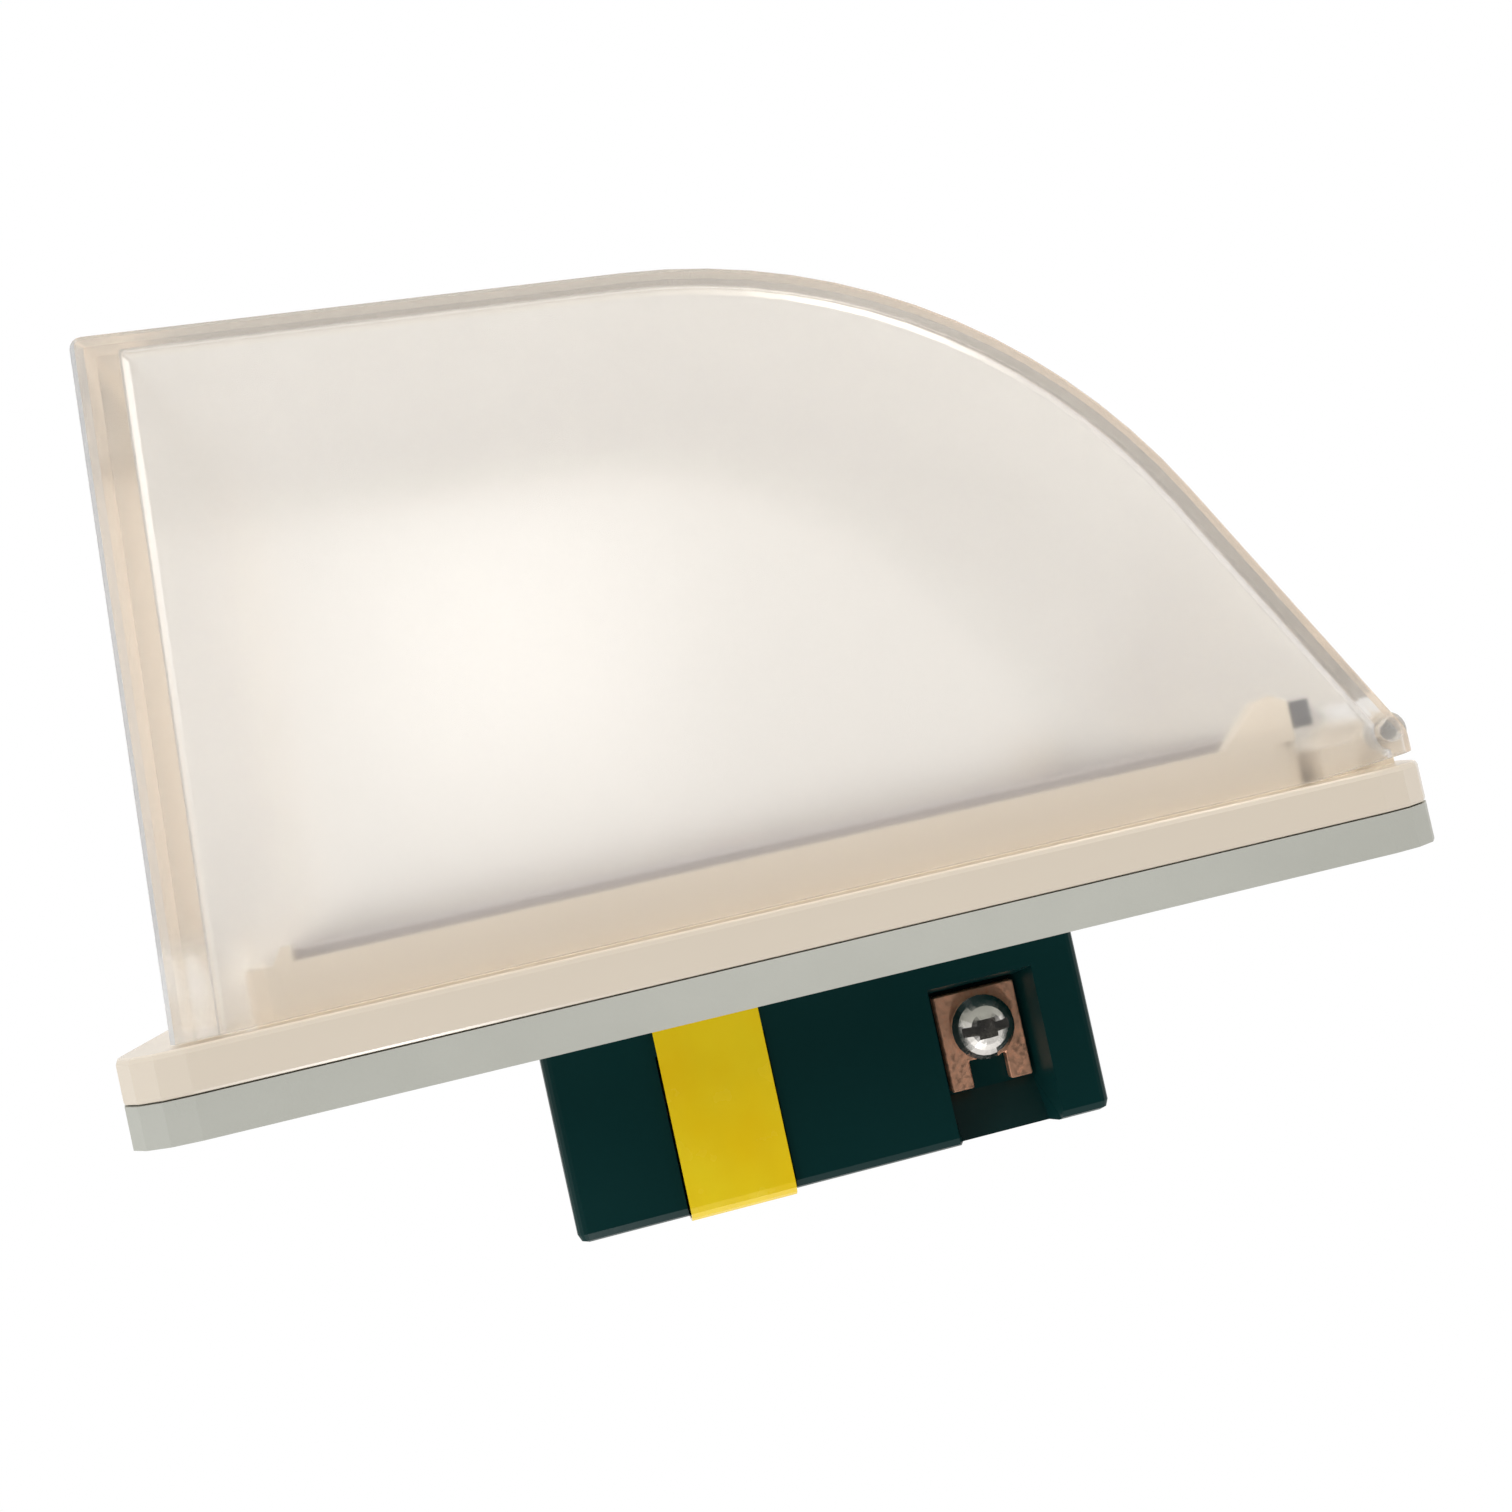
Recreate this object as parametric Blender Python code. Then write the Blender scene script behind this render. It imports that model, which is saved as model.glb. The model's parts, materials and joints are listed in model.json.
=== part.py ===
"""Weatherproof in-use cover with its GFCI receptacle, as it hangs on a wall.

Z runs up towards the hinge, X to the viewer's right, and the front faces -Y.
The wall plane is Y = 0: the gasket lies on its front side and the receptacle's
back body reaches behind it, into the wall box.

Every size is in millimetres. "Forward" is the distance in front of the wall
plane, so Y = -forward. finish() writes each mesh in metres.
"""

import math

import bmesh
import bpy
from mathutils import Matrix, Vector

MM = 0.001

LARGE_ARC = 10.0
LARGE_ARC_STEP_DEG = 4.0
SMALL_ARC_STEP_DEG = 22.5

# Base frame and gasket
FRAME_WIDTH = 96.0
FRAME_LENGTH = 148.0
FRAME_CORNER = 8.5
GASKET_THICKNESS = 4.5
GASKET_GAP = 0.1
FRAME_THICKNESS = 4.8
TOP_EDGE_ROUND = 0.6
BACK_EDGE_ROUND = 0.35
PIECE_GAP = 0.3

# Rim, ears and hinge block on the frame
RIM_WIDTH = 85.0
RIM_LOW_Z = -59.8
RIM_HIGH_Z = 60.4
RIM_WALL = 2.2
RIM_HEIGHT = 5.8
RIM_CORNER = 4.2
RIM_NUB_LENGTH = 1.2
RIM_NUB_HEIGHT = 1.7
SEAL_HEIGHT = 1.1
SEAL_WIDTH = 1.6
SEAL_LOW_Z = -56.0
EAR_LENGTH = 8.6
EAR_HIGH_Z = 59.0
EAR_RISE = 5.0
PAD_LENGTH = 2.3
PAD_HEIGHT = 3.1
PAD_THICKNESS = 1.8
HINGE_BLOCK_LENGTH = 4.5
HINGE_BLOCK_HEIGHT = 3.6
HINGE_BLOCK_GAP = 1.0

# Cover shell
COVER_INSET = 1.5
COVER_WALL = 2.5
COVER_TOP_WALL = 2.1
COVER_LATCH_WALL = 4.9
FOOT_RISE_LENGTH = 13.0
FOOT_RISE = 1.0
COVER_RISE = 73.3
COVER_EDGE_ROUND = 3.0
COVER_INNER_ROUND = 1.0
LATCH_END_INSET = 6.4
LATCH_END_LEAN = 4.5
TOP_CORNER_ROUND = 1.5
TOP_FALL_DEG = 2.7
SLOPE_DEG = 59.0
CROWN_RADIUS = 72.0
HINGE_END_INSET = 1.9
CORD_EXIT_WIDTH = 13.0
CORD_EXIT_HEIGHT = 10.0
CORD_EXIT_X = 15.0

# Hinge
PIN_RADIUS = 1.0
PIN_CLEARANCE = 0.3
PIN_SETBACK = 4.1
PIN_FORWARD = 3.9
KNUCKLE_RADIUS = 2.2
LUG_CENTRE_X = 35.0
LUG_WIDTH = 12.0
LUG_CLEARANCE = 0.4
LUG_RELIEF = 8.0

# Receptacle: body, yoke and face
DEVICE_Z = 2.0
BODY_WIDTH = 42.7
BODY_LENGTH = 67.3
BODY_DEPTH = 25.8
BODY_WALL = 2.0
BODY_ROUND = 1.2
BODY_CLEARANCE = 0.9
YOKE_THICKNESS = 1.5
YOKE_LENGTH = 106.0
YOKE_EAR_WIDTH = 19.0
YOKE_PLATE_WIDTH = 42.0
YOKE_PLATE_LENGTH = 69.4
FACE_WIDTH = 33.3
FACE_SHORTER = 0.5
FACE_HEIGHT = 6.2
FACE_WALL = 2.2
FACE_CLEARANCE = 0.4
FACE_ROUND = 0.8
PLATE_SCREW_SPACING = 96.8
DEVICE_SCREW_SPACING = 83.3
ASSEMBLY_SCREW_X = 13.4
ASSEMBLY_SCREW_INSET = 3.95
ASSEMBLY_SCREW_RADIUS = 1.3
POST_RADIUS = 2.6

# Outlets and buttons, measured from the receptacle's centre
OUTLET_SPACING = 39.2
GROUND_FROM_OUTLET = 6.4
BLADE_TO_GROUND = 11.9
BLADE_SPACING = 12.7
NEUTRAL_SLOT = 8.0
HOT_SLOT = 6.5
SLOT_WIDTH = 2.4
GROUND_HOLE_RADIUS = 2.7
BUTTON_WIDTH = 12.0
BUTTON_LENGTH = 4.2
BUTTON_OFFSET = 3.4
BUTTON_PROUD = 1.1
BUTTON_CLEARANCE = 0.3
BUTTON_FLANGE = 0.8
BUTTON_TRAVEL = 1.2
LENS_X = 11.6
LENS_RADIUS = 1.1
SHUTTER_TRAVEL = 2.8
SHUTTER_THICKNESS = 1.2

# Terminals, measured from the receptacle's centre
LINE_TERMINAL_INSET = 13.05
LOAD_TERMINAL_INSET = 20.05
TERMINAL_TOP = -6.1
POCKET_WIDTH = 13.7
POCKET_FLOOR_WIDTH = 11.4
POCKET_DEPTH = 6.0
POCKET_RAMP_DEPTH = 2.4
POCKET_RAMP_LENGTH = 5.3
POCKET_SLANT = 1.5
CLAMP_WIDTH = 10.6
CLAMP_HEIGHT = 12.1
CLAMP_THICKNESS = 1.5
CLAMP_EDGE_ROUND = 0.15
CLAMP_NOTCH_WIDTH = 4.9
CLAMP_NOTCH_HEIGHT = 3.4
TERMINAL_SCREW_DROP = 6.6
SCREW_HEAD_RADIUS = 4.05
SCREW_HEAD_HEIGHT = 2.9
SCREW_RIM_HEIGHT = 0.8
SCREW_SHANK_RADIUS = 1.9
TAPE_WIDTH = 13.0
TAPE_THICKNESS = 0.35

# Places worked out from the sizes above
FACE_LENGTH = BODY_LENGTH - FACE_SHORTER
ASSEMBLY_SCREW_Z = BODY_LENGTH / 2 - ASSEMBLY_SCREW_INSET
LINE_TERMINAL_Z = BODY_LENGTH / 2 - LINE_TERMINAL_INSET
LOAD_TERMINAL_Z = LOAD_TERMINAL_INSET - BODY_LENGTH / 2
FRAME_BACK = GASKET_THICKNESS + GASKET_GAP
FRAME_FRONT = FRAME_BACK + FRAME_THICKNESS
RIM_TOP = FRAME_FRONT + RIM_HEIGHT
COVER_FOOT = FRAME_FRONT + PIECE_GAP
COVER_HALF_WIDTH = FRAME_WIDTH / 2 - COVER_INSET
COVER_LOW_Z = -FRAME_LENGTH / 2 + LATCH_END_INSET
COVER_HIGH_Z = FRAME_LENGTH / 2 - HINGE_END_INSET
HINGE_Z = FRAME_LENGTH / 2 - PIN_SETBACK
HINGE_FORWARD = FRAME_FRONT + PIN_FORWARD
YOKE_FRONT = GASKET_THICKNESS
YOKE_BACK = YOKE_FRONT - YOKE_THICKNESS
BODY_TOP = YOKE_BACK - PIECE_GAP
BODY_BACK = -BODY_DEPTH
FACE_BACK = YOKE_FRONT + PIECE_GAP
FACE_FRONT = FACE_BACK + FACE_HEIGHT
FACE_INNER = FACE_FRONT - FACE_WALL
POCKET_FLOOR_X = BODY_WIDTH / 2 - POCKET_DEPTH
POCKET_WALL_X = POCKET_FLOOR_X - 1.6
TERMINAL_SCREW_FORWARD = TERMINAL_TOP - TERMINAL_SCREW_DROP
BLADE_OFFSET = GROUND_FROM_OUTLET - BLADE_TO_GROUND
OUTLETS = {"upper": OUTLET_SPACING / 2, "lower": -OUTLET_SPACING / 2}
SIDES = {"right": 1, "left": -1}
TERMINALS = {"line": LINE_TERMINAL_Z, "load": LOAD_TERMINAL_Z}

# Interior of the back body
BOARD_FRONT = -17.4
BOARD_THICKNESS = 1.6
BUS_FORWARD = -6.0
BUS_THICKNESS = 0.8
BUS_X = BLADE_SPACING / 2
CONTACT_Z = -2.5
CONTACT_X = 10.6
CONTACT_HEIGHT = 1.4
ARM_LENGTH = 15.5
ARM_THICKNESS = 0.7
ARM_FORWARD = BUS_FORWARD - 2 * CONTACT_HEIGHT - PIECE_GAP
LIFTER_TRAVEL = 1.2
COIL_RADIUS = 4.6
COIL_LOW_Z = 7.0
COIL_LENGTH = 12.0
COIL_FORWARD = -12.0
GROUND_SCREW_FORWARD = -8.0
GROUND_TAB_Z = DEVICE_Z + BODY_LENGTH / 2 - 4.6
PLUNGER_RADIUS = 1.5
NECK_RADIUS = 0.7
PLUNGER_TRAVEL = 2.5


# ---------------------------------------------------------------- materials

def material(name, colour, roughness, metallic=0.0, transmission=0.0):
    """A Principled material, made once for each name."""
    made = bpy.data.materials.get(name)
    if made:
        return made
    made = bpy.data.materials.new(name)
    made.use_nodes = True
    shader = made.node_tree.nodes["Principled BSDF"]
    shader.inputs["Base Color"].default_value = (*colour, 1.0)
    shader.inputs["Roughness"].default_value = roughness
    shader.inputs["Metallic"].default_value = metallic
    shader.inputs["Transmission Weight"].default_value = transmission
    return made


def frosted_plastic():
    return material("frosted_plastic", (0.93, 0.92, 0.90), 0.35, transmission=0.9)


def cream_plastic():
    return material("cream_plastic", (0.83, 0.73, 0.60), 0.3)


def grey_rubber():
    return material("grey_rubber", (0.42, 0.44, 0.42), 0.6)


def dark_rubber():
    return material("dark_rubber", (0.06, 0.06, 0.08), 0.7)


def green_plastic():
    return material("green_plastic", (0.01, 0.06, 0.055), 0.25)


def yellow_tape():
    return material("yellow_tape", (0.95, 0.74, 0.02), 0.25)


def copper():
    return material("copper", (0.80, 0.44, 0.26), 0.35, metallic=1.0)


def brass():
    return material("brass", (0.78, 0.58, 0.25), 0.3, metallic=1.0)


def nickel():
    return material("nickel", (0.72, 0.70, 0.67), 0.22, metallic=1.0)


def steel():
    return material("steel", (0.60, 0.61, 0.62), 0.35, metallic=1.0)


def board_green():
    return material("board_green", (0.03, 0.18, 0.08), 0.45)


def black_plastic():
    return material("black_plastic", (0.02, 0.02, 0.02), 0.4)


def red_plastic():
    return material("red_plastic", (0.60, 0.03, 0.03), 0.35)


def lens_plastic():
    return material("lens_plastic", (0.20, 0.75, 0.30), 0.15, transmission=0.6)


# ------------------------------------------------------------ shape helpers

def place(x, forward, z):
    """A point in the model's axes, in millimetres."""
    return Vector((x, -forward, z))


def loft(rings):
    """A closed solid through rings of equal point count, capped at both ends."""
    shape = bmesh.new()
    rows = [[shape.verts.new(point) for point in ring] for ring in rings]
    count = len(rows[0])
    for low, high in zip(rows, rows[1:]):
        for i in range(count):
            j = (i + 1) % count
            shape.faces.new((low[i], low[j], high[j], high[i]))
    shape.faces.new(rows[0])
    shape.faces.new(rows[-1])
    bmesh.ops.recalc_face_normals(shape, faces=shape.faces)
    return shape


def plate(outline, back, front):
    """An outline of (x, z) points, thick from back to front."""
    return loft([[place(x, forward, z) for x, z in outline] for forward in (back, front)])


def side_plate(outline, low_x, high_x):
    """An outline of (z, forward) points, thick along X."""
    return loft([[place(x, forward, z) for z, forward in outline] for x in (low_x, high_x)])


def block(x, forward, z):
    """A box from its three (low, high) ranges."""
    corners = ((x[0], z[0]), (x[1], z[0]), (x[1], z[1]), (x[0], z[1]))
    return plate(corners, *forward)


def turned(axis, centre, profile, sides=24):
    """A turned solid: profile is (radius, distance) pairs along the axis through centre."""
    along = {"X": Vector((1, 0, 0)), "FORWARD": Vector((0, -1, 0)), "Z": Vector((0, 0, 1))}[axis]
    across = Vector((0, 0, 1)) if axis != "Z" else Vector((1, 0, 0))
    third = along.cross(across)
    middle = place(*centre)
    rings = []
    for radius, distance in profile:
        ring = []
        for i in range(sides):
            angle = 2 * math.pi * i / sides
            out = across * math.cos(angle) + third * math.sin(angle)
            ring.append(middle + along * distance + out * radius)
        rings.append(ring)
    return loft(rings)


def cylinder(axis, centre, radius, low, high, sides=24):
    return turned(axis, centre, ((radius, low), (radius, high)), sides)


def rounded(corners):
    """The outline through (a, b, radius) corners, each corner an arc of its radius."""
    points = []
    count = len(corners)
    for i, (a, b, radius) in enumerate(corners):
        here = Vector((a, b))
        if radius <= 0:
            points.append((a, b))
            continue
        before = (Vector(corners[i - 1][:2]) - here).normalized()
        after = (Vector(corners[(i + 1) % count][:2]) - here).normalized()
        half = before.angle(after) / 2
        centre = here + (before + after).normalized() * (radius / math.sin(half))
        start = here + before * (radius / math.tan(half)) - centre
        turn = start.angle_signed(here + after * (radius / math.tan(half)) - centre)
        step_deg = LARGE_ARC_STEP_DEG if radius > LARGE_ARC else SMALL_ARC_STEP_DEG
        steps = max(2, math.ceil(math.degrees(abs(turn)) / step_deg - 0.01))
        for k in range(steps + 1):
            points.append(tuple(centre + Matrix.Rotation(-turn * k / steps, 2) @ start))
    return points


def rounded_rectangle(width, length, radius, centre_z=0.0):
    x, low, high = width / 2, centre_z - length / 2, centre_z + length / 2
    return rounded([(-x, low, radius), (x, low, radius), (x, high, radius), (-x, high, radius)])


def inset(corners, distances):
    """Corners moved inwards by a distance for each side; side i runs from corner i to i + 1."""
    count = len(corners)
    area = sum(corners[i - 1][0] * corners[i][1] - corners[i][0] * corners[i - 1][1] for i in range(count))
    inward = 1 if area > 0 else -1
    lines = []
    for i, distance in enumerate(distances):
        start = Vector(corners[i][:2])
        along = (Vector(corners[(i + 1) % count][:2]) - start).normalized()
        normal = Vector((-along.y, along.x)) * inward
        lines.append((start + normal * distance, along))
    moved = []
    for i in range(count):
        (p, d), (q, e) = lines[i - 1], lines[i]
        t = (q - p).cross(e) / d.cross(e)
        point = p + d * t
        moved.append((point.x, point.y, corners[i][2]))
    return moved


def coil(centre, axis, radius, wire, length, turns, per_turn=10, sides=6):
    """A helical spring whose ends are closed discs, from centre along axis."""
    along = {"X": Vector((1, 0, 0)), "FORWARD": Vector((0, -1, 0)), "Z": Vector((0, 0, 1))}[axis]
    across = Vector((0, 0, 1)) if axis != "Z" else Vector((1, 0, 0))
    third = along.cross(across)
    start = place(*centre) + along * wire
    rings = []
    steps = int(turns * per_turn)
    for i in range(steps + 1):
        angle = 2 * math.pi * i / per_turn
        out = across * math.cos(angle) + third * math.sin(angle)
        middle = start + out * radius + along * ((length - 2 * wire) * i / steps)
        ring = []
        for k in range(sides):
            spin = 2 * math.pi * k / sides
            ring.append(middle + out * wire * math.cos(spin) + along * wire * math.sin(spin))
        rings.append(ring)
    return loft(rings)


def round_edges(shape, radius, segments, chosen):
    """Bevels the edges for which chosen(edge) holds."""
    edges = [edge for edge in shape.edges if chosen(edge)]
    bmesh.ops.bevel(
        shape, geom=edges, offset=radius, offset_type="OFFSET", segments=segments, profile=0.5,
        affect="EDGES", clamp_overlap=True,
    )
    return shape


def at_forward(forward):
    """Chooses the edges that lie in the plane this far forward."""
    return lambda edge: all(abs(vert.co.y + forward) < 1e-4 for vert in edge.verts)


def is_sharp(edge):
    return len(edge.link_faces) == 2 and edge.calc_face_angle() > math.radians(40)


def helper_object(shape):
    mesh = bpy.data.meshes.new("helper")
    shape.to_mesh(mesh)
    shape.free()
    made = bpy.data.objects.new("helper", mesh)
    bpy.context.scene.collection.objects.link(made)
    return made


def boolean(base, tools, operation):
    """The base joined with, or cut by, each tool in turn."""
    holder = helper_object(base)
    helpers = [helper_object(tool) for tool in tools]
    for helper in helpers:
        step = holder.modifiers.new(operation, "BOOLEAN")
        step.operation = operation
        step.solver = "EXACT"
        step.object = helper
    result = bmesh.new()
    result.from_object(holder, bpy.context.evaluated_depsgraph_get())
    for helper in [holder, *helpers]:
        mesh = helper.data
        bpy.data.objects.remove(helper)
        bpy.data.meshes.remove(mesh)
    return result


def join(base, *tools):
    return boolean(base, tools, "UNION")


def cut(base, *tools):
    return boolean(base, tools, "DIFFERENCE")


def finish(name, shape, look, origin=(0.0, 0.0, 0.0)):
    """Makes the named object in metres, with its origin at (x, forward, z)."""
    centre = place(*origin)
    bmesh.ops.translate(shape, verts=shape.verts, vec=-centre)
    bmesh.ops.scale(shape, verts=shape.verts, vec=(MM, MM, MM))
    mesh = bpy.data.meshes.new(name)
    shape.to_mesh(mesh)
    shape.free()
    mesh.materials.append(look)
    mesh.shade_smooth()
    mesh.set_sharp_from_angle(angle=math.radians(35))
    made = bpy.data.objects.new(name, mesh)
    made.location = centre * MM
    bpy.context.scene.collection.objects.link(made)
    return made


# ------------------------------------------------------------ cover and hinge

def cover_corners():
    """The shell's outer side view: foot, latch-end top, crown, hinge end, hinge foot."""
    top = (COVER_LOW_Z + LATCH_END_LEAN, FRAME_FRONT + COVER_RISE)
    hinge_top = (COVER_HIGH_Z, HINGE_FORWARD - 0.2)
    fall = math.tan(math.radians(TOP_FALL_DEG))
    slope = math.tan(math.radians(SLOPE_DEG))
    crown_z = (top[1] - hinge_top[1] + fall * top[0] - slope * hinge_top[0]) / (fall - slope)
    crown = (crown_z, top[1] - fall * (crown_z - top[0]))
    return [
        (COVER_LOW_Z, COVER_FOOT, 0.0),
        (*top, TOP_CORNER_ROUND),
        (*crown, CROWN_RADIUS),
        (*hinge_top, 2.0),
        (COVER_HIGH_Z, COVER_FOOT, 0.8),
    ]


def shell_solid(half_width, walls, edge_round, foot, segments):
    """A solid of the cover's side view, each side inset by its wall, with its long edges rounded."""
    corners = cover_corners()
    rings = []
    angles = [90.0 * k / segments for k in range(segments + 1)]
    stations = [(edge_round * (1 - math.sin(math.radians(a))), edge_round * (1 - math.cos(math.radians(a))))
                for a in reversed(angles)]
    for side in (-1, 1):
        row = []
        for inward, along in stations:
            moved = inset(corners, [wall + along for wall in walls] + [foot])
            shrink = max(walls[1:]) + along
            moved = [(z, forward, max(r - shrink, 0.4) if r else 0.0) for z, forward, r in moved]
            outline = rounded(moved)
            row.append([place(side * (half_width - inward), forward, z) for z, forward in outline])
        rings += row if side < 0 else list(reversed(row))
    return loft(rings)


def cover_shell():
    shell = cut(
        shell_solid(COVER_HALF_WIDTH, (0.0, 0.0, 0.0, 0.0), COVER_EDGE_ROUND, 0.0, 4),
        shell_solid(
            COVER_HALF_WIDTH - COVER_WALL, (COVER_LATCH_WALL, COVER_TOP_WALL, COVER_WALL, COVER_WALL),
            COVER_INNER_ROUND, -8.0, 2),
    )
    axis = (0, HINGE_FORWARD, HINGE_Z)
    barrel_end = COVER_HALF_WIDTH - COVER_WALL + 0.3
    bore_end = COVER_HALF_WIDTH - COVER_WALL - 0.4
    foot_rise = [
        (COVER_HIGH_Z - FOOT_RISE_LENGTH, COVER_FOOT), (COVER_HIGH_Z + 2, COVER_FOOT + FOOT_RISE * 1.15),
        (COVER_HIGH_Z + 2, COVER_FOOT - 3), (COVER_HIGH_Z - FOOT_RISE_LENGTH, COVER_FOOT - 3),
    ]
    tools = [
        cylinder("X", axis, PIN_RADIUS + PIN_CLEARANCE, -bore_end, bore_end, 16),
        side_plate(foot_rise, -FRAME_WIDTH, FRAME_WIDTH),
    ]
    for side in SIDES.values():
        low = side * LUG_CENTRE_X - LUG_WIDTH / 2 - LUG_CLEARANCE
        high = side * LUG_CENTRE_X + LUG_WIDTH / 2 + LUG_CLEARANCE
        relief = (HINGE_FORWARD - LUG_RELIEF, HINGE_FORWARD + PIN_SETBACK)
        tools.append(block((low, high), relief, (HINGE_Z - LUG_RELIEF, HINGE_Z + LUG_RELIEF)))
        tools.append(cord_exit_cutter(side * CORD_EXIT_X))
    barrel = cylinder("X", axis, KNUCKLE_RADIUS, -barrel_end, barrel_end)
    finish("cover_shell", cut(join(shell, barrel), *tools), frosted_plastic(), axis)


def cord_exit_cutter(x):
    """A round-topped slot through the latch-end wall, open at the wall's foot."""
    radius = CORD_EXIT_WIDTH / 2
    spring_line = COVER_FOOT + CORD_EXIT_HEIGHT - radius
    arch = [(x - radius, COVER_FOOT - 3), (x + radius, COVER_FOOT - 3)]
    for k in range(9):
        angle = math.pi * k / 8
        arch.append((x + radius * math.cos(angle), spring_line + radius * math.sin(angle)))
    lows = [place(a, forward, COVER_LOW_Z - 5) for a, forward in arch]
    highs = [place(a, forward, COVER_LOW_Z + LATCH_END_LEAN + COVER_WALL + 1) for a, forward in arch]
    return loft([lows, highs])


def hinge_pin():
    axis = (0, HINGE_FORWARD, HINGE_Z)
    end = COVER_HALF_WIDTH - COVER_WALL - 1.0
    finish("hinge_pin", cylinder("X", axis, PIN_RADIUS, -end, end, 16), steel(), axis)


# ------------------------------------------------------------ frame and gasket

def rim_outline(shrink):
    length = RIM_HIGH_Z - RIM_LOW_Z - 2 * shrink
    centre = (RIM_HIGH_Z + RIM_LOW_Z) / 2
    return rounded_rectangle(RIM_WIDTH - 2 * shrink, length, max(RIM_CORNER - shrink, 0.6), centre)


def ring(outer, inner, back, front):
    return cut(plate(outer, back, front), plate(inner, back - 1, front + 1))


def ear(side):
    """The upright at the rim's hinge end, on one side."""
    foot = RIM_TOP - 0.6
    outline = [
        (EAR_HIGH_Z - EAR_LENGTH, foot),
        (EAR_HIGH_Z - EAR_LENGTH, RIM_TOP),
        (EAR_HIGH_Z - 0.44 * EAR_LENGTH, RIM_TOP + 0.93 * EAR_RISE),
        (EAR_HIGH_Z - 0.22 * EAR_LENGTH, RIM_TOP + EAR_RISE),
        (EAR_HIGH_Z, RIM_TOP + 0.78 * EAR_RISE),
        (EAR_HIGH_Z, foot),
    ]
    outer = RIM_WIDTH / 2 * side
    return side_plate(outline, *sorted((outer, outer - RIM_WALL * side)))


def rim_nub(side):
    """The small gusset on the rim near its latch-end corner."""
    low = RIM_LOW_Z + RIM_CORNER + 0.3
    outline = [
        (low - RIM_NUB_LENGTH, RIM_TOP - 0.5),
        (low + RIM_NUB_LENGTH, RIM_TOP - 0.5),
        (low + RIM_NUB_LENGTH, RIM_TOP + RIM_NUB_HEIGHT),
        (low + 0.2 * RIM_NUB_LENGTH, RIM_TOP + RIM_NUB_HEIGHT),
    ]
    outer = RIM_WIDTH / 2 * side
    return side_plate(outline, *sorted((outer, outer - RIM_WALL * side)))


def hinge_lug(side):
    """A web up from the hinge block with a knuckle round the pin's axis."""
    reach = KNUCKLE_RADIUS - 0.1
    foot = FRAME_FRONT - 0.6
    outline = [
        (HINGE_Z - PIN_SETBACK, foot),
        (HINGE_Z - PIN_SETBACK, FRAME_FRONT + 0.9 * HINGE_BLOCK_HEIGHT),
        (HINGE_Z - 0.6, HINGE_FORWARD + 0.8 * reach),
        (HINGE_Z + 0.8 * reach, HINGE_FORWARD),
        (HINGE_Z + 0.8 * reach, foot),
    ]
    low, high = side * LUG_CENTRE_X - LUG_WIDTH / 2, side * LUG_CENTRE_X + LUG_WIDTH / 2
    web = side_plate(outline, low, high)
    axis = (0, HINGE_FORWARD, HINGE_Z)
    return web, cylinder("X", axis, reach, low, high)


def plate_screw_places():
    return [(DEVICE_Z + side * PLATE_SCREW_SPACING / 2) for side in (1, -1)]


def base_frame():
    body = plate(rounded_rectangle(FRAME_WIDTH, FRAME_LENGTH, FRAME_CORNER), FRAME_BACK, FRAME_FRONT)
    body = round_edges(body, TOP_EDGE_ROUND, 2, at_forward(FRAME_FRONT))
    body = round_edges(body, BACK_EDGE_ROUND, 2, at_forward(FRAME_BACK))
    rim = ring(rim_outline(0.0), rim_outline(RIM_WALL), FRAME_FRONT - 0.6, RIM_TOP)
    hinge_low = RIM_HIGH_Z + HINGE_BLOCK_GAP
    hinge_block = block(
        (-RIM_WIDTH / 2, RIM_WIDTH / 2),
        (FRAME_FRONT - 0.6, FRAME_FRONT + HINGE_BLOCK_HEIGHT),
        (hinge_low, hinge_low + HINGE_BLOCK_LENGTH),
    )
    added = [rim, hinge_block]
    for side in SIDES.values():
        added += [ear(side), rim_nub(side), *hinge_lug(side)]
    half_width = FACE_WIDTH / 2 + FACE_CLEARANCE
    half_length = FACE_LENGTH / 2 + FACE_CLEARANCE
    window = block(
        (-half_width, half_width), (FRAME_BACK - 1, FRAME_FRONT + 1),
        (DEVICE_Z - half_length, DEVICE_Z + half_length),
    )
    axis = (0, HINGE_FORWARD, HINGE_Z)
    cutters = [window, cylinder("X", axis, PIN_RADIUS + PIN_CLEARANCE, -FRAME_WIDTH, FRAME_WIDTH, 16)]
    for z in plate_screw_places():
        sink = ((2.0, -1.0), (2.0, FRAME_THICKNESS - 2.2), (4.2, FRAME_THICKNESS), (4.2, FRAME_THICKNESS + 1))
        cutters.append(turned("FORWARD", (0, FRAME_BACK, z), sink, 20))
    finish("base_frame", cut(join(body, *added), *cutters), cream_plastic())


def rim_seal():
    """A dark strip standing on the frame inside the rim, a little proud of it."""
    inside = RIM_WALL + PIECE_GAP
    high = RIM_HIGH_Z - inside
    middle, length = (high + SEAL_LOW_Z) / 2, high - SEAL_LOW_Z
    width = RIM_WIDTH - 2 * inside
    outer = rounded_rectangle(width, length, RIM_CORNER - RIM_WALL, middle)
    inner = rounded_rectangle(width - 2 * SEAL_WIDTH, length - 2 * SEAL_WIDTH, 0.8, middle)
    finish("rim_seal", ring(outer, inner, FRAME_FRONT + PIECE_GAP, RIM_TOP + SEAL_HEIGHT), dark_rubber())


def ear_pads():
    """The small pads on the hinge side of the two ears."""
    low_z = EAR_HIGH_Z + PIECE_GAP
    low = RIM_TOP + 0.7
    for name, side in SIDES.items():
        middle = side * (RIM_WIDTH - RIM_WALL) / 2
        pad = block(
            (middle - PAD_THICKNESS / 2, middle + PAD_THICKNESS / 2),
            (low, low + PAD_HEIGHT), (low_z, low_z + PAD_LENGTH),
        )
        finish(f"ear_pad_{name}", pad, dark_rubber())


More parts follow.
